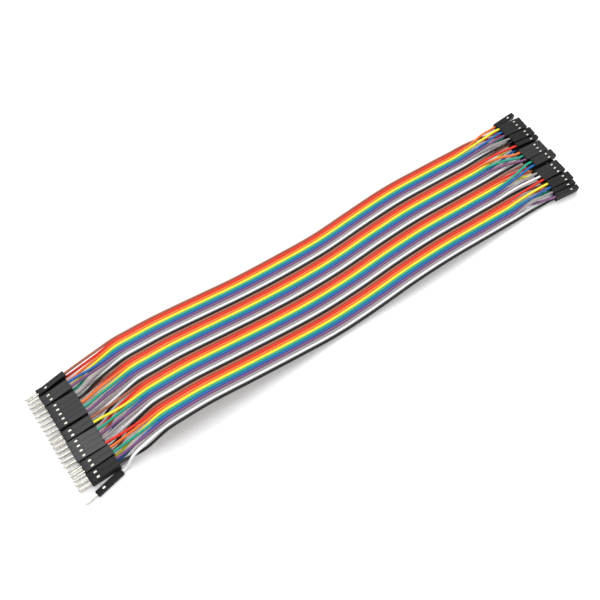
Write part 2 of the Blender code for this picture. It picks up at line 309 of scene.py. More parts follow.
def pin_bank() -> HousingBank:
    """The housings at the pin ends."""
    # The last number of each plan is its painted light: how much lighter its housings' tone is, for
    # tops that reflect more light.
    return HousingBank(
        Contact.PIN, line=-142.0 * MM, lower_far_side=30.2 * MM, upper_far_side=24.75 * MM,
        lower=Plan(
            "male_lower_row",
            (2, 3, 4, 5, 9, 11, 12, 14, 16, 18, 19, 20, 22, 23, 26, 29, 30, 31, 34, 36, 38),
            0.0, 0.0, 0.0, 0.4),
        upper=(
            Plan("male_upper_row_a", (6, 7), 0.1 * MM, 0.0, 5.0, 0.7),
            Plan("male_upper_row_b", (8, 10, 13, 15, 17), -0.2 * MM, 0.32 * MM, 0.0, 0.7),
            Plan("male_upper_row_c", (21, 24), 0.1 * MM, 1.0 * MM, 1.5, 0.75),
            Plan("male_upper_row_d", (25, 27, 28, 32), 0.2 * MM, 0.15 * MM, -1.5, 1.0),
            Plan("male_upper_row_e", (33, 35), -0.3 * MM, 0.0, 2.0, 0.75),
            Plan("male_upper_row_f", (37, 40), 0.1 * MM, 0.4 * MM, 2.0, 0.3)),
        far_single=Plan("male_far_housing", (1,), -0.6 * MM, 0.9 * MM, 9.0, 0.4),
        near_single=Plan("male_near_housing", (39,), 0.5 * MM, 0.0, 11.0, 0.0))


def socket_bank() -> HousingBank:
    """The housings at the socket ends."""
    # The last number of each plan is its painted light: how much lighter its housings' tone is, for
    # tops that reflect more light.
    return HousingBank(
        Contact.SOCKET, line=146.3 * MM, lower_far_side=22.6 * MM, upper_far_side=22.6 * MM,
        lower=Plan(
            "female_lower_row",
            (1, 2, 5, 9, 11, 14, 16, 18, 19, 20, 21, 22, 23, 24, 27, 30, 31, 33, 35, 39, 40),
            0.0, 0.0, -7.0, 0.1),
        upper=(
            Plan("female_upper_row_a", (4, 6, 7), -0.2 * MM, 0.0, -7.0, 0.3),
            Plan("female_upper_row_b", (8, 10), 0.85 * MM, 0.29 * MM, -8.0, 0.15),
            Plan("female_upper_row_c", (12,), 0.8 * MM, 0.36 * MM, -8.0, 0.1),
            Plan("female_upper_row_d", (13, 15, 17), -0.2 * MM, 1.0 * MM, -5.0, 0.55),
            Plan("female_upper_row_e", (25, 26), 1.4 * MM, 0.15 * MM, -5.0, 0.45),
            Plan("female_upper_row_f", (28, 29, 32), -0.5 * MM, 1.6 * MM, -4.0, 0.4),
            Plan("female_upper_row_g", (34, 36), 0.2 * MM, 0.4 * MM, -7.0, 0.25),
            Plan("female_upper_row_h", (38,), -0.9 * MM, 0.0, -8.0, 0.15),
            Plan("female_upper_row_i", (37,), -1.2 * MM, 0.05 * MM, -9.0, 0.3)),
        far_single=Plan("female_far_housing", (3,), 1.0 * MM, 0.75 * MM, 3.0, 0.15))


class Field:
    """A node socket that takes part in Python arithmetic, each operation adding its Math node."""

    def __init__(self, shader: Shader, socket: bpy.types.NodeSocket) -> None:
        """Wrap an output socket of a shader's tree."""
        self.shader = shader
        self.socket = socket

    def _math(self, operation: str, first: Field | float, second: Field | float) -> Field:
        """Add one Math node.

        Args:
            operation: The node's operation.
            first: Its first value or link.
            second: Its second value or link.

        Returns:
            The node's output.
        """
        return self.shader.node(
            "ShaderNodeMath", {"operation": operation}, {0: first, 1: second})

    def __add__(self, other: Field | float) -> Field:
        """Sum."""
        return self._math("ADD", self, other)

    __radd__ = __add__

    def __sub__(self, other: Field | float) -> Field:
        """Difference."""
        return self._math("SUBTRACT", self, other)

    def __rsub__(self, other: Field | float) -> Field:
        """Difference with the operands the other way round."""
        return self._math("SUBTRACT", other, self)

    def __mul__(self, other: Field | float) -> Field:
        """Product."""
        return self._math("MULTIPLY", self, other)

    __rmul__ = __mul__

    def clamped(self, low: float, high: float) -> Field:
        """The value held between two limits."""
        return self._math("MINIMUM", self._math("MAXIMUM", self, low), high)


class Shader:
    """A material's node tree, with one method that adds any node."""

    def __init__(self, name: str) -> None:
        """Start a material with a Principled shader."""
        self.material = bpy.data.materials.new(name)
        self.material.use_nodes = True
        self.tree = self.material.node_tree
        self.principled = self.tree.nodes["Principled BSDF"]

    def node(self, kind: str, settings: dict, inputs: dict, output: int | str = 0) -> Field:
        """Add a node.

        Args:
            kind: The node's type.
            settings: Values for its properties, set before its sockets.
            inputs: Values or links for its sockets, by name or number.
            output: The output that is wanted.

        Returns:
            That output, ready for arithmetic.
        """
        node = self.tree.nodes.new(kind)
        for key, value in settings.items():
            setattr(node, key, value)
        for key, value in inputs.items():
            self.feed(node.inputs[key], value)
        return Field(self, node.outputs[output])

    def feed(self, socket: bpy.types.NodeSocket, value: object) -> None:
        """Link a field to a socket, or set the socket's own value.

        Args:
            socket: The socket to feed.
            value: A field, or a plain value.
        """
        if isinstance(value, Field):
            self.tree.links.new(value.socket, socket)
        else:
            socket.default_value = value

    def dress(self, **values: object) -> bpy.types.Material:
        """Feed the Principled shader's sockets.

        Args:
            **values: A value or field for each socket, its name with _ for spaces.

        Returns:
            The finished material.
        """
        for name, value in values.items():
            self.feed(self.principled.inputs[name.replace("_", " ")], value)
        return self.material

    def place(self) -> Field:
        """Object coordinates."""
        return self.node("ShaderNodeTexCoord", {}, {}, "Object")

    def route(self) -> Field:
        """A wire's own route coordinates: metres along it, and the share of the way around."""
        return self.node("ShaderNodeUVMap", {"uv_map": "route"}, {})

    def scaled(self, place: Field, stretch: Triple) -> Field:
        """Coordinates that are each scaled by a factor of their own."""
        return self.node("ShaderNodeVectorMath", {"operation": "MULTIPLY"}, {0: place, 1: stretch})

    def noise(self, place: Field, scale: float = 1.0, detail: float = 2.0) -> Field:
        """A noise value of 0 to 1 about 0.5.

        Args:
            place: Where the noise is read.
            scale: How many features lie in a unit.
            detail: How many finer octaves it has.

        Returns:
            The noise value.
        """
        return self.node(
            "ShaderNodeTexNoise", {},
            {"Vector": place, "Scale": scale, "Detail": detail, "Roughness": 0.5}, "Fac")

    def blend(self, factor: Field | float, first: Rgba, second: Rgba) -> Field:
        """A colour between two colours.

        Args:
            factor: Share of the second colour.
            first: The first colour.
            second: The second colour.

        Returns:
            The mixed colour.
        """
        return self.node(
            "ShaderNodeMix", {"data_type": "RGBA"}, {0: factor, 6: first, 7: second}, 2)

    def bump(self, height: Field, strength: float, distance: float) -> Field:
        """A bumped normal.

        Args:
            height: The height, of 0 to 1.
            strength: How much of it shows.
            distance: The height of 1 in metres.

        Returns:
            The normal.
        """
        inputs = {"Strength": strength, "Distance": distance, "Height": height}
        return self.node("ShaderNodeBump", {}, inputs, "Normal")


@dataclass(frozen=True)
class Insulation:
    """Soft extruded insulation: its colour with faint streaks along the wire and a dull sheen."""

    colour: WireColour
    tint_share: float = 0.12
    pale_power: float = 0.8
    streak_stretch: Triple = (90.0, 3.0, 1.0)
    streak_share: float = 0.6
    cloud_scale: float = 160.0
    skin_stretch: Triple = (700.0, 9.0, 1.0)
    skin_strength: float = 0.25
    skin_height: float = 0.02 * MM
    roughness: float = 0.37
    roughness_range: float = 0.1
    ior: float = 1.42

    def material(self) -> bpy.types.Material:
        """Make the material.

        Returns:
            The procedural insulation material.
        """
        shader = Shader(f"insulation_{self.colour.label}")
        route = shader.route()
        streaks = shader.noise(shader.scaled(route, self.streak_stretch), detail=3.0)
        cloud = shader.noise(shader.place(), self.cloud_scale)
        shade = (streaks * self.streak_share + cloud * (1 - self.streak_share)).clamped(0.0, 1.0)
        skin = shader.noise(shader.scaled(route, self.skin_stretch))
        base = np.array(linear(self.colour.value)[:3])
        deep = base * (1 - self.tint_share)
        pale = deep + self.tint_share * base ** self.pale_power
        return shader.dress(
            Base_Color=shader.blend(shade, (*deep.tolist(), 1.0), (*pale.tolist(), 1.0)),
            Roughness=self.roughness + skin * self.roughness_range,
            IOR=self.ior,
            Normal=shader.bump(skin, self.skin_strength, self.skin_height))


@dataclass(frozen=True)
class MouldedBlack:
    """Black glass-filled plastic from a spark-eroded mould: a fine grain on a satin, greyish face.

    A housing's shade, from 0 to 1, raises its tone above the darkest one, in sRGB steps, and its sheen.
    The shade is painted light and painted sheen, standing in for how much light the row's tops reflect.
    """

    shade: float
    darkest: float = 14.0
    lighter: float = 38.0
    streak: float = 14.0
    blue: float = 2.0
    wear_scale: float = 130.0
    wear_contrast: float = 2.5
    grain_scale: float = 5200.0
    grain_strength: float = 0.5
    grain_height: float = 0.03 * MM
    roughness: float = 0.5
    roughness_range: float = 0.12
    ior: float = 1.25
    ior_range: float = 0.25

    def tone(self, raised: float) -> Rgba:
        """The plastic's colour, slightly blue, in linear values.

        Args:
            raised: How much lighter than the housing's darkest tone, in sRGB steps.

        Returns:
            The colour with alpha.
        """
        # Painted light: the shade term lightens the tone of rows whose tops reflect more light.
        grey = self.darkest + self.lighter * self.shade ** 2 + raised
        return linear((grey, grey, grey + self.blue))

    def material(self) -> bpy.types.Material:
        """Make the material.

        Returns:
            The procedural housing material.
        """
        shader = Shader(f"moulded_black_{round(self.shade * 100):03d}")
        place = shader.place()
        grain = shader.noise(place, self.grain_scale, 3.0)
        cloud = shader.noise(place, self.wear_scale, 3.0)
        wear = ((cloud - 0.5) * self.wear_contrast + 0.5).clamped(0.0, 1.0)
        # The shade also raises the IOR, a painted sheen for rows whose tops mirror more light.
        return shader.dress(
            Base_Color=shader.blend(wear, self.tone(0.0), self.tone(self.streak)),
            Roughness=self.roughness + wear * self.roughness_range,
            IOR=self.ior + self.ior_range * self.shade,
            Normal=shader.bump(grain, self.grain_strength, self.grain_height))


@dataclass(frozen=True)
class TinPlate:
    """Stamped and tin-plated bronze: pale, bright metal with rolling streaks and small dull spots."""

    bright: Rgb = (216, 212, 204)
    dull: Rgb = (124, 120, 110)
    spot_scale: float = 1400.0
    rolling_stretch: Triple = (300.0, 5200.0, 5200.0)
    rolling_strength: float = 0.3
    rolling_height: float = 0.01 * MM
    roughness: float = 0.3
    roughness_range: float = 0.14

    def material(self) -> bpy.types.Material:
        """Make the material.

        Returns:
            The procedural terminal material.
        """
        shader = Shader("tin_plate")
        place = shader.place()
        streaks = shader.noise(shader.scaled(place, self.rolling_stretch))
        spots = shader.noise(place, self.spot_scale)
        return shader.dress(
            Base_Color=shader.blend(spots, linear(self.bright), linear(self.dull)),
            Metallic=1.0,
            Roughness=self.roughness + spots * self.roughness_range,
            Normal=shader.bump(streaks, self.rolling_strength, self.rolling_height))


def piece_from(
        name: str, points: np.ndarray, faces: list[list[int]], material: bpy.types.Material,
        sharp_deg: float | None = 35.0) -> bpy.types.Object:
    """Make one object from points and faces that are already in place.

    Args:
        name: The piece's name.
        points: The vertices, one row each.
        faces: The faces as vertex numbers, turned outwards.
        material: Its material.
        sharp_deg: Edges sharper than this stay sharp, or None for a surface that is smooth all over.

    Returns:
        The linked object.
    """
    mesh = bpy.data.meshes.new(name)
    mesh.from_pydata(points.tolist(), [], faces)
    mesh.materials.append(material)
    mesh.shade_smooth()
    if sharp_deg is not None:
        mesh.set_sharp_from_angle(angle=math.radians(sharp_deg))
    mesh.validate()
    piece = bpy.data.objects.new(name, mesh)
    bpy.context.scene.collection.objects.link(piece)
    return piece


def ring_faces(rings: int, around: int, closed: bool = False) -> np.ndarray:
    """Quads between consecutive rings of a lofted surface.

    Ring r and place a are vertex r * around + a. Each quad joins two places of one ring to the same two
    of the next, and a closed loft joins the last ring to the first.

    Args:
        rings: How many rings there are.
        around: How many points each has.
        closed: Whether the last ring joins the first.

    Returns:
        The quads, four vertex numbers a row, ordered by ring and then by place.
    """
    ring = np.arange(rings if closed else rings - 1)[:, None]
    place = np.arange(around)[None, :]
    after = (place + 1) % around
    following = (ring + 1) % rings
    quads = np.stack(
        [ring * around + place, ring * around + after, following * around + after,
         following * around + place], axis=-1)
    return quads.reshape(-1, 4)


def end_caps(rings: int, around: int) -> np.ndarray:
    """The two faces that close an open loft, which are its first ring turned over and its last ring.

    Args:
        rings: How many rings there are.
        around: How many points each has.

    Returns:
        The two faces, one row each.
    """
    first = np.arange(around)
    return np.stack([first[::-1], first + (rings - 1) * around])


def square_rings(
        place: np.ndarray, half_width: np.ndarray, low: np.ndarray, high: np.ndarray,
        radius: np.ndarray, inset: float) -> np.ndarray:
    """Rings of a square outline with rounded corners, four points a side and one at each corner.

    Each side runs between its corners' rounding and has two points at an even inset from its middle, so
    that a window's edges meet on every ring. The corner point lies on the corner's arc at 45 degrees.

    Args:
        place: Where each ring lies along the axis.
        half_width: Half its outline's width.
        low: Its lowest height.
        high: Its highest height.
        radius: Its corner radius.
        inset: How far from a side's middle its two inner points lie, where the side is long enough.

    Returns:
        The points as rings by points by (along, across, up).
    """
    middle = (low + high) / 2
    half_height = (high - low) / 2
    corner_in = radius * (1 - math.sqrt(0.5))
    points = []
    for turn, (cosine, sine) in enumerate(((1, 0), (0, 1), (-1, 0), (0, -1))):
        along, out = (half_height, half_width) if turn % 2 == 0 else (half_width, half_height)
        edge = along - radius
        inner = np.minimum(inset, SHORT_SIDE_SHARE * edge)
        side = [(out, step) for step in (-edge, -inner, inner, edge)]
        for away, step in [*side, (out - corner_in, along - corner_in)]:
            points.append(np.stack(
                [place, away * cosine - step * sine, middle + away * sine + step * cosine], axis=-1))
    return np.stack(points, axis=1)


def seated(points: np.ndarray, seat: Seat) -> np.ndarray:
    """Carry points from a housing's own axes to its seat.

    Args:
        points: Points as out of the front, across and up from the middle of the front face.
        seat: The housing's seat.

    Returns:
        The points in the frame.
    """
    across = Vector((0.0, 0.0, 1.0)).cross(seat.outward)
    axes = np.array([tuple(seat.outward), tuple(across), (0.0, 0.0, 1.0)])
    return points @ axes + np.array(tuple(seat.point))


def copies(
        points: np.ndarray, groups: list[np.ndarray],
        seats: list[Seat]) -> tuple[np.ndarray, list[list[int]]]:
    """One copy of a shape at each seat.

    The points of copy k follow those of the one before, so k times the number of the shape's points is
    added to the vertex numbers of its faces.

    Args:
        points: The shape's points in a housing's own axes.
        groups: Its faces, in arrays of faces that have as many corners.
        seats: The seats.

    Returns:
        The points of all the copies in the frame, and their faces.
    """
    placed = np.concatenate([seated(points, seat) for seat in seats])
    faces = [
        face for copy in range(len(seats)) for group in groups
        for face in (group + copy * len(points)).tolist()]
    return placed, faces


@dataclass
class CrimpHousing:
    """The moulded one-way housing: a square shell with a stepped cavity and a latch in its window.

    Each section of the tongue's profile gives its share of the tongue's length, and how far its top and
    its underside lie below the housing's top.
    """

    corner: float = 0.09 * MM
    edge_break: float = 0.1 * MM
    front_taper: float = 0.2 * MM
    taper_length: float = 0.32 * MM
    lead_in: float = 0.14 * MM
    mouth_flare: float = 0.112 * MM
    outside_ring: int = 2
    inside_ring: int = 10
    tongue_length: float = 0.8 * MM
    tongue_gap: float = 0.13 * MM
    tongue_root: float = 0.06 * MM
    tongue_profile: tuple[Triple, ...] = (
        (0.0, 0.05 * MM, 0.27 * MM), (0.45, 0.06 * MM, 0.26 * MM),
        (0.7, 0.09 * MM, 0.31 * MM), (1.0, 0.14 * MM, 0.33 * MM))

    def rings(self) -> np.ndarray:
        """Rings of the shell, along the outside from rear to front and back through the cavity.

        The shell is one closed loft of a rounded square whose size is a function of the path: outside,
        over the front edge, in through the opening, out to the cavity's width and back to the mouth.

        Returns:
            The rings, of which outside_ring and inside_ring are where the window starts.
        """
        half = SIZE.width / 2
        hole = SIZE.opening / 2
        cavity = half - SIZE.wall
        window_front = -SIZE.window_from_front
        window_rear = window_front - SIZE.window_length
        sections = [
            (-SIZE.length, half - self.edge_break, self.corner),
            (-SIZE.length + self.edge_break, half, self.corner),
            (window_rear, half, self.corner),
            (window_front, half, self.corner),
            (-self.taper_length, half, self.corner),
            (0.0, half - self.front_taper, self.corner),
            (0.0, hole + self.lead_in, self.corner),
            (-self.lead_in, hole, self.corner / 2),
            (-SIZE.front_wall, hole, self.corner / 2),
            (-SIZE.front_wall, cavity, self.corner),
            (window_front, cavity, self.corner),
            (window_rear, cavity, self.corner),
            (-SIZE.length + self.lead_in, cavity, self.corner),
            (-SIZE.length, cavity + self.mouth_flare, self.corner)]
        place, size, corner = np.array(sections).T
        return square_rings(place, size, -size, size, corner, SIZE.window_width / 2)

    def shell(self) -> tuple[np.ndarray, np.ndarray]:
        """The shell's points and quads in its own axes, with the window cut through its top wall.

        The two quads of the top wall between the window's edges, outside and inside, are left out and
        the four edges of the one are joined to those of the other.

        Returns:
            The points and the quads.
        """
        rings = self.rings()
        count, around = rings.shape[:2]
        top = SIDE_POINTS + 1
        outside = self.outside_ring * around + top
        inside = self.inside_ring * around + top
        quads = np.delete(ring_faces(count, around, closed=True), [outside, inside], axis=0)
        outer = outside + np.array([0, 1, around + 1, around])
        inner = inside + np.array([around, around + 1, 1, 0])
        walls = np.stack([outer, inner, np.roll(inner, -1), np.roll(outer, -1)], axis=-1)
        return rings.reshape(-1, 3), np.concatenate([quads, walls])

    def tongue(self) -> tuple[np.ndarray, np.ndarray]:
        """The latch tongue, which springs from the window's rear edge and holds the terminal.

        Its sections run from its root in the wall to its free tip, which hooks down a little.

        Returns:
            The points and the quads.
        """
        top = SIZE.height / 2
        rear = -SIZE.window_from_front - SIZE.window_length
        share, upper, lower = np.array(self.tongue_profile).T
        place = rear + self.tongue_length * share
        place[0] -= self.tongue_root
        half = np.full_like(place, SIZE.window_width / 2 - self.tongue_gap)
        corners = ((half, lower), (half, upper), (-half, upper), (-half, lower))
        points = np.stack(
            [np.stack([place, side, top - below], axis=-1) for side, below in corners], axis=1)
        quads = np.concatenate([ring_faces(*points.shape[:2]), end_caps(*points.shape[:2])])
        return points.reshape(-1, 3), quads

    def build_row(self, row: Row, material: bpy.types.Material) -> bpy.types.Object:
        """Build the housings of one row as one piece.

        Args:
            row: The placed row.
            material: The housings' material.

        Returns:
            The piece, which stands for the row's node.
        """
        shell, shell_quads = self.shell()
        tongue, tongue_quads = self.tongue()
        quads = np.concatenate([shell_quads, tongue_quads + len(shell)])
        seats = [row.seat(index) for index in range(len(row.plan.wires))]
        points, faces = copies(np.concatenate([shell, tongue]), [quads], seats)
        piece = piece_from(f"{row.plan.node}_moulded", points, faces, material)
        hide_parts(row.plan.node)
        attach(piece, "root")
        return piece


@dataclass
class Terminal:
    """A stamped terminal: insulation crimp, wire crimp, and a box with a pin or a socket in front.

    The places of the crimps and the box count from the rear end on, and those of the tang from the
    window's middle on. Each line of a profile gives a distance back from the pin's tip or the box's
    front, the half width, how far top and bottom lie inside that, and the corner radius.
    """

    contact: Contact
    corner: float = 0.12 * MM
    side_inset: float = 0.3 * MM
    crimp_places: tuple[float, float] = (0.1 * MM, 1.5 * MM)
    crimp_corner: float = 0.45 * MM
    crimp_half: float = 0.78 * MM
    crimp_rise: float = 0.8 * MM
    crimp_edge: float = 0.06 * MM
    wire_places: tuple[float, float] = (1.7 * MM, 2.1 * MM)
    wire_bases: tuple[float, float] = (-0.74 * MM, -0.76 * MM)
    wire_half: float = 0.5 * MM
    wire_top: float = 0.2 * MM
    wire_corner: float = 0.15 * MM
    box_places: tuple[float, float] = (2.3 * MM, 2.6 * MM)
    box_step: float = 0.5 * MM
    box_edge: float = 0.08 * MM
    tang_places: tuple[float, ...] = (-0.5 * MM, 0.3 * MM, 0.75 * MM, 0.8 * MM)
    tang: float = 0.1 * MM
    pin_length: float = 6.0 * MM
    pin_profile: tuple[tuple[float, ...], ...] = (
        (0.9 * MM, 0.32 * MM, 0.0, 0.05 * MM), (0.405 * MM, 0.256 * MM, 0.0, 0.1 * MM),
        (0.06 * MM, 0.13 * MM, 0.0, 0.08 * MM), (0.0, 0.065 * MM, 0.0, 0.03 * MM))
    socket_profile: tuple[tuple[float, ...], ...] = (
        (0.0, 0.54 * MM, 0.0, 0.06 * MM), (0.14 * MM, 0.4 * MM, 0.0, 0.05 * MM),
        (1.6 * MM, 0.4 * MM, 0.12 * MM, 0.05 * MM), (2.6 * MM, 0.4 * MM, 0.0, 0.05 * MM),
        (6.0 * MM, 0.4 * MM, 0.0, 0.05 * MM))

    def sections(self) -> np.ndarray:
        """The terminal's sections from its rear to its front.

        Returns:
            Place, half width, lowest and highest height, and corner radius, one row for each section.
        """
        body = SIZE.width / 2 - SIZE.wall - SIZE.clearance
        rear = SIZE.crimp_length - SIZE.length
        front = -SIZE.stop_gap - SIZE.front_wall
        window = -SIZE.window_from_front - SIZE.window_length / 2
        half, rise, edge = self.crimp_half, self.crimp_rise, self.crimp_edge
        box = body - self.box_edge
        tops = (body, body + self.tang, body + self.tang, body)
        return np.array([
            (rear, half - edge, edge - rise, rise - edge, self.crimp_corner),
            *((rear + place, half, -rise, rise, self.crimp_corner) for place in self.crimp_places),
            *((rear + place, self.wire_half, base, self.wire_top, self.wire_corner)
              for place, base in zip(self.wire_places, self.wire_bases)),
            *((rear + place, body, -body, top, self.corner)
              for place, top in zip(self.box_places, (self.box_step, body))),
            *((window + place, body, -body, top, self.corner)
              for place, top in zip(self.tang_places, tops)),
            (front - self.box_edge, body, -body, body, self.corner),
            (front, box, -box, box, self.corner),
            *self.front_end(front)])

    def front_end(self, front: float) -> list[tuple[float, ...]]:
        """The pin with its tapered tip, or the sunk socket with its flared mouth and its spring.

        Args:
            front: Where the box's front lies.

        Returns:
            The sections from there on, with the same five values.
        """
        if self.contact is Contact.PIN:
            profile = [(self.pin_length - back, *rest) for back, *rest in self.pin_profile]
            profile.insert(0, (front, *self.pin_profile[0][1:]))
        else:
            profile = [(front - back, *rest) for back, *rest in self.socket_profile]
        return [
            (place, half, inside - half, half - inside, corner)
            for place, half, inside, corner in profile]

    def build(
            self, seats: dict[int, Seat], nodes: list[str],
            material: bpy.types.Material) -> bpy.types.Object:
        """Build the terminals of all the wires at one end as one piece.

        Each is a loft of rounded squares along its axis, closed at both ends.

        Args:
            seats: Each wire's seat at this end.
            nodes: The wires' nodes, which hold their terminals too.
            material: The terminals' material.

        Returns:
            The piece.
        """
        rings = square_rings(*self.sections().T, self.side_inset)
        groups = [ring_faces(*rings.shape[:2]), end_caps(*rings.shape[:2])]
        places = [seats[number] for number in sorted(seats)]
        points, faces = copies(rings.reshape(-1, 3), groups, places)
        piece = piece_from(f"{self.contact.label}_terminals", points, faces, material)
        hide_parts(*nodes)
        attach(piece, "root")
        return piece


def cubic_chain(knots: np.ndarray, values: np.ndarray, read: np.ndarray) -> np.ndarray:
    """Read a smooth chain of cubics.

    The slope at each knot is that of the parabola through it and its two neighbours. Between two knots,
    with t from 0 to 1, the cubic is the one that has their values and slopes.

    Args:
        knots: Where the values hold, rising.
        values: The values, one row each.
        read: Where the chain is read.

    Returns:
        The values there.
    """
    slopes = np.gradient(values, knots, axis=0)
    index = np.clip(np.searchsorted(knots, read, side="right") - 1, 0, len(knots) - 2)
    span = (knots[index + 1] - knots[index])[:, None]
    t = (read - knots[index])[:, None] / span
    return (
        (2 * t ** 3 - 3 * t ** 2 + 1) * values[index]
        + (t ** 3 - 2 * t ** 2 + t) * span * slopes[index]
        + (3 * t ** 2 - 2 * t ** 3) * values[index + 1]
        + (t ** 3 - t ** 2) * span * slopes[index + 1])


def path_lengths(points: np.ndarray) -> np.ndarray:
    """The distance from the first point to each point, along the straight lines between them."""
    return np.concatenate([[0.0], np.cumsum(np.linalg.norm(np.diff(points, axis=0), axis=1))])


@dataclass
class BondedRibbon:
    """The forty wires: how they lie side by side, fan out to their housings and are skinned.

    Each stop of the route gives a place along the ribbon, the heights of its far and its near edge, and
    its shift to the far side. A crossing is the fan of a wire that goes over or under its neighbours.
    """

    count: int = 40
    diameter: float = 1.3 * MM
    bond_gap: float = 0.06 * MM
    mouth_run: float = 1.2 * MM
    ring_step: float = 1.3 * MM
    station_step: float = 10.0 * MM
    around: int = 16
    bond_ends: tuple[float, float] = (-106.0 * MM, 106.0 * MM)
    bond_fade: float = 6.0 * MM
    fan_ends: tuple[float, float] = (-103.0 * MM, 101.0 * MM)
    route: tuple[tuple[float, float, float, float], ...] = (
        (-107.0 * MM, 9.2 * MM, 12.2 * MM, 2.6 * MM),
        (-85.0 * MM, 9.2 * MM, 13.1 * MM, 2.0 * MM),
        (-62.0 * MM, 6.7 * MM, 9.8 * MM, 1.3 * MM),
        (-38.0 * MM, 3.6 * MM, 6.2 * MM, 0.6 * MM),
        (-12.0 * MM, 2.1 * MM, 3.0 * MM, 0.1 * MM),
        (10.0 * MM, 1.3 * MM, 4.0 * MM, 0.0),
        (32.0 * MM, 3.8 * MM, 6.5 * MM, 0.0),
        (54.0 * MM, 5.9 * MM, 6.7 * MM, 0.0),
        (80.0 * MM, 4.4 * MM, 4.3 * MM, 0.0),
        (105.0 * MM, 2.3 * MM, 1.9 * MM, 0.0))
    upper_fan: Fan = (FanPoint(0.3, 0.05, 0.6 * MM), FanPoint(0.65, 0.4, 1.2 * MM))
    lower_fan: Fan = (FanPoint(0.3, 0.05, -0.4 * MM), FanPoint(0.65, 0.4, -0.8 * MM))
    pin_crossings: dict[int, Fan] = field(default_factory=lambda: {
        39: (FanPoint(0.42, 0.0, 1.2 * MM), FanPoint(0.75, 0.5, 2.2 * MM)),
        40: (FanPoint(0.6, 0.2, -0.6 * MM),)})
    socket_crossings: dict[int, Fan] = field(default_factory=lambda: {
        3: (FanPoint(0.3, 0.0, 0.6 * MM), FanPoint(0.7, 0.6, 0.9 * MM)),
        37: (FanPoint(0.3, 0.05, 0.6 * MM), FanPoint(0.67, 0.5, 0.6 * MM)),
        38: (FanPoint(0.38, 0.05, 2.4 * MM), FanPoint(0.67, 0.5, 2.3 * MM))})

    def node(self, number: int) -> str:
        """The name of a wire's node."""
        return f"wire_{number:02d}_{WireColour.of_wire(number).label}"

    def fan(self, start: Vector, seat: Seat, crossing: Fan | None) -> list[Vector]:
        """Points from the ribbon's end to inside a housing.

        The wire leaves the ribbon's plane towards its layer, then moves sideways, and runs straight in.

        Args:
            start: The ribbon's end.
            seat: The housing's seat.
            crossing: Fan points of a wire that crosses its neighbours, or None.

        Returns:
            The points in order.
        """
        front, outward = seat
        mouth = front - outward * (SIZE.length + self.mouth_run)
        rear = front - outward * SIZE.length
        inner = front - outward * (SIZE.length - SIZE.crimp_length - SIZE.crimp_grip)
        middle = (SIZE.upper_base + SIZE.height) / 2
        points = []
        for point in crossing or (self.upper_fan if mouth.z > middle else self.lower_fan):
            points.append(Vector((
                start.x + (mouth.x - start.x) * point.share,
                start.y + (mouth.y - start.y) * point.spread,
                start.z + (middle - start.z) * point.share + point.level)))
        return [*points, mouth, rear, inner]

    def path(self, number: int, pin_seat: Seat, socket_seat: Seat) -> np.ndarray:
        """The smooth route of one wire from its pin's crimp to its socket's crimp.

        In the ribbon the wire keeps its share of the way from the far to the near edge. The whole route
        is a chain of cubics by chord length, read at even steps.

        Args:
            number: The wire's number from the far side.
            pin_seat: The seat of its pin's housing.
            socket_seat: The seat of its socket's housing.

        Returns:
            Points on the route.
        """
        first, last = self.fan_ends
        along = np.linspace(first, last, round((last - first) / self.station_step) + 1)
        route = np.array(self.route)
        lie = cubic_chain(route[:, 0], route[:, 1:], along)
        share = (number - 1) / (self.count - 1)
        across = ((self.count - 1) / 2 - (number - 1)) * (self.diameter + self.bond_gap)
        ribbon = [
            Vector((x, across + aside, far + (near - far) * share)) - ORIGIN
            for x, (far, near, aside) in zip(along.tolist(), lie.tolist())]
        pin = self.fan(ribbon[0], pin_seat, self.pin_crossings.get(number))
        socket = self.fan(ribbon[-1], socket_seat, self.socket_crossings.get(number))
        points = np.array([tuple(point) for point in [*reversed(pin), *ribbon, *socket]])
        chord = path_lengths(points)
        steps = max(2, round(chord[-1] / self.ring_step))
        return cubic_chain(chord, points, np.linspace(0.0, chord[-1], steps + 1))

    def skin(self, path: np.ndarray) -> np.ndarray:
        """The insulation around a path.

        Each ring is an ellipse across the path, level in the frame. Its width grows by the bond's gap
        where the wires are bonded, so that each touches its neighbours there.

        Args:
            path: Points on the wire's middle line.

        Returns:
            The rings of points.
        """
        tangent = np.gradient(path, axis=0)
        tangent /= np.linalg.norm(tangent, axis=1)[:, None]
        side = np.cross([0.0, 0.0, 1.0], tangent)
        side /= np.linalg.norm(side, axis=1)[:, None]
        lift = np.cross(tangent, side)
        start, end = (edge - ORIGIN.x for edge in self.bond_ends)
        inside = np.minimum(path[:, 0] - start, end - path[:, 0]) / self.bond_fade
        bonded = np.clip(inside, 0.0, 1.0)
        half_width = self.diameter / 2 + bonded * self.bond_gap / 2
        angle = np.linspace(0.0, 2 * math.pi, self.around, endpoint=False)
        return (
            path[:, None, :]
            + side[:, None, :] * (np.cos(angle)[None, :, None] * half_width[:, None, None])
            + lift[:, None, :] * (np.sin(angle)[None, :, None] * self.diameter / 2))

    def build_wire(
            self, number: int, path: np.ndarray, material: bpy.types.Material) -> bpy.types.Object:
        """Args:
            number: The wire's number from the far side.
            path: Its route.
            material: Its insulation.

        Returns:
            The piece.
        """
        rings = self.skin(path)
        length = path_lengths(path)
        faces = [*ring_faces(*rings.shape[:2]).tolist(), *end_caps(*rings.shape[:2]).tolist()]
        colour = WireColour.of_wire(number).label
        piece = piece_from(
            f"insulation_{number:02d}_{colour}", rings.reshape(-1, 3), faces, material, None)
        self.unroll(piece.data, length)
        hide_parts(self.node(number))
        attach(piece, "root")
        return piece

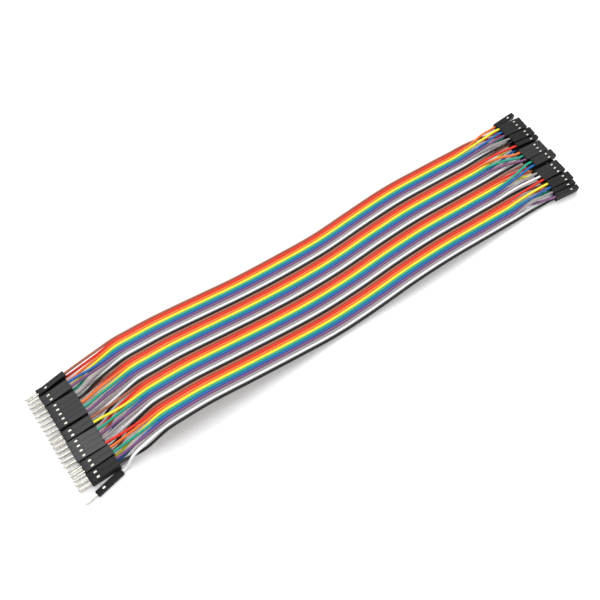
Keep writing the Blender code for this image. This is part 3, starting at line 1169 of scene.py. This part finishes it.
    def unroll(self, mesh: bpy.types.Mesh, length: np.ndarray) -> None:
        """Give a wire's mesh its route coordinates: metres along it, and the share of the way around.

        Args:
            mesh: The wire's mesh, its quads first and its two end caps last.
            length: The path's length at each ring.
        """
        around = self.around
        layer = mesh.uv_layers.new(name="route")
        ring = np.repeat(np.arange(len(length) - 1), around)
        place = np.tile(np.arange(around), len(length) - 1)
        along = np.stack([length[ring], length[ring], length[ring + 1], length[ring + 1]], axis=-1)
        turned = np.stack([place, place + 1, place + 1, place], axis=-1) / around
        quads = np.stack([along, turned], axis=-1).reshape(-1, 2)
        caps = np.zeros((2 * around, 2))
        layer.uv.foreach_set("vector", np.concatenate([quads, caps]).astype(np.float32).ravel())


@dataclass
class Studio:
    """The table, the light and the camera at the photograph's angle.

    The key lamp hangs above the table's middle, leaning by its shares of the camera's right, up and
    backward directions. The spark lamp faces its target from where flat metal there mirrors it.
    """

    elevation_deg: float = 60.0
    distance: float = 400.0 * MM
    turn_deg: float = 36.64
    roll_deg: float = 1.018
    aim: tuple[float, float] = (16.738 * MM, -0.496 * MM)
    focal_px: float = 829.96
    image_px: int = 600
    sensor_mm: float = 36.0
    nearest: float = 10.0 * MM
    world_strength: float = 0.75
    key_power: float = 7.0
    key_size: float = 0.9
    key_distance: float = 1.1
    key_lean: Triple = (-0.15, 0.6, 0.79)
    spark_power: float = 1.1
    spark_size: float = 0.34
    spark_distance: float = 1.0
    spark_target: Triple = (135.0 * MM, -5.0 * MM, 3.0 * MM)
    floor_side: float = 6.0
    floor_drop: float = 0.02 * MM
    floor_tone: float = 0.88
    floor_roughness: float = 0.9
    camera_glow: float = 0.16

    def camera_axes(self) -> tuple[Vector, Vector, Vector]:
        """The camera's right, up and forward directions.

        Returns:
            The three unit directions in the frame.
        """
        rise = math.radians(self.elevation_deg)
        roll = math.radians(self.roll_deg)
        spin = Matrix.Rotation(math.radians(-self.turn_deg), 3, "Z")
        forward = spin @ Vector((0.0, math.cos(rise), -math.sin(rise)))
        level = spin @ Vector((1.0, 0.0, 0.0))
        top = spin @ Vector((0.0, math.sin(rise), math.cos(rise)))
        right = level * math.cos(roll) + top * math.sin(roll)
        up = top * math.cos(roll) - level * math.sin(roll)
        return right, up, forward

    def camera_place(self) -> Vector:
        """Where the camera stands in the frame."""
        forward = self.camera_axes()[2]
        return Vector((-self.aim[0], -self.aim[1], 0.0)) - ORIGIN - forward * self.distance

    def build_camera(self) -> None:
        """Set the camera where the photograph was taken."""
        right, up, forward = self.camera_axes()
        data = bpy.data.cameras.new("photo_camera")
        data.sensor_width = self.sensor_mm
        data.lens = self.focal_px / self.image_px * self.sensor_mm
        data.clip_start = self.nearest
        camera = bpy.data.objects.new("photo_camera", data)
        columns = Matrix((right, up, -forward)).transposed()
        camera.matrix_world = Matrix.Translation(self.camera_place()) @ columns.to_4x4()
        bpy.context.scene.collection.objects.link(camera)
        bpy.context.scene.camera = camera

    def build_floor(self) -> None:
        """Lay the white table, which glows a little to the camera so that it shows white."""
        side = self.floor_side / 2
        corners = ((-side, -side), (side, -side), (side, side), (-side, side))
        mesh = bpy.data.meshes.new("table")
        mesh.from_pydata([(x, y, -self.floor_drop) for x, y in corners], [], [(0, 1, 2, 3)])
        floor = bpy.data.objects.new("table", mesh)
        bpy.context.scene.collection.objects.link(floor)
        shader = Shader("table_white")
        seen, mirrored, through = (
            shader.node("ShaderNodeLightPath", {}, {}, f"Is {kind} Ray")
            for kind in ("Camera", "Glossy", "Transmission"))
        glow = (seen + mirrored + through).clamped(0.0, 1.0) * self.camera_glow
        mesh.materials.append(shader.dress(
            Base_Color=(self.floor_tone, self.floor_tone, self.floor_tone, 1.0),
            Roughness=self.floor_roughness,
            Specular_IOR_Level=0.0,
            Emission_Strength=1.0,
            Emission_Color=shader.node("ShaderNodeCombineColor", {}, {0: glow, 1: glow, 2: glow})))

    def lamp(self, name: str, size: float, power: float, target: Vector, place: Vector) -> None:
        """Hang one round soft lamp that faces a point.

        Args:
            name: The lamp's name.
            size: Its diameter.
            power: Its power in watts.
            target: The point that it faces.
            place: Where it hangs.
        """
        lamp = bpy.data.lights.new(name, "AREA")
        lamp.shape = "DISK"
        lamp.size = size
        lamp.energy = power
        source = bpy.data.objects.new(name, lamp)
        source.location = place
        source.rotation_euler = (target - place).to_track_quat("-Z", "Y").to_euler()
        bpy.context.scene.collection.objects.link(source)

    def build_light(self) -> None:
        """Light the table from an even white sky, a soft lamp above and a small one for the sockets."""
        world = bpy.data.worlds.new("studio_world")
        world.use_nodes = True
        background = world.node_tree.nodes["Background"]
        background.inputs["Color"].default_value = (1.0, 1.0, 1.0, 1.0)
        background.inputs["Strength"].default_value = self.world_strength
        bpy.context.scene.world = world
        right, up, forward = self.camera_axes()
        to_right, to_up, to_back = self.key_lean
        direction = (right * to_right + up * to_up - forward * to_back).normalized()
        self.lamp("softbox", self.key_size, self.key_power, Vector(), direction * self.key_distance)
        target = Vector(self.spark_target)
        seen = self.camera_place() - target
        mirrored = Vector((-seen.x, -seen.y, seen.z)).normalized()
        place = target + mirrored * self.spark_distance
        self.lamp("spark", self.spark_size, self.spark_power, target, place)
        bpy.context.scene.view_settings.view_transform = "Standard"


def main() -> None:
    """Build the studio, the wires, the terminals and the housings, in that order."""
    logging.basicConfig(level=logging.INFO, format="%(name)s: %(message)s")
    studio = Studio()
    studio.build_camera()
    studio.build_floor()
    studio.build_light()
    banks = (pin_bank(), socket_bank())
    for bank in banks:
        bank.lay_out()
    pin_seats, socket_seats = (bank.seats() for bank in banks)
    ribbon = BondedRibbon()
    wires = range(1, ribbon.count + 1)
    skins = {colour: Insulation(colour).material() for colour in WireColour}
    pieces = []
    for number in wires:
        path = ribbon.path(number, pin_seats[number], socket_seats[number])
        pieces.append(ribbon.build_wire(number, path, skins[WireColour.of_wire(number)]))
    nodes = [ribbon.node(number) for number in wires]
    tin = TinPlate().material()
    for bank in banks:
        pieces.append(Terminal(bank.contact).build(bank.seats(), nodes, tin))
    # One housing material for each painted light level: lit and shaded copies of the same black
    # plastic.
    painted_light_levels = sorted({row.plan.shade for bank in banks for row in bank.rows})
    blacks = {shade: MouldedBlack(shade).material() for shade in painted_light_levels}
    for bank, housing in zip(banks, (CrimpHousing(), CrimpHousing(tongue_length=0.4 * MM))):
        for row in bank.rows:
            pieces.append(housing.build_row(row, blacks[row.plan.shade]))
    for piece in pieces:
        LOG.info("%s: %d faces", piece.name, len(piece.data.polygons))


if __name__ == "__main__":
    main()
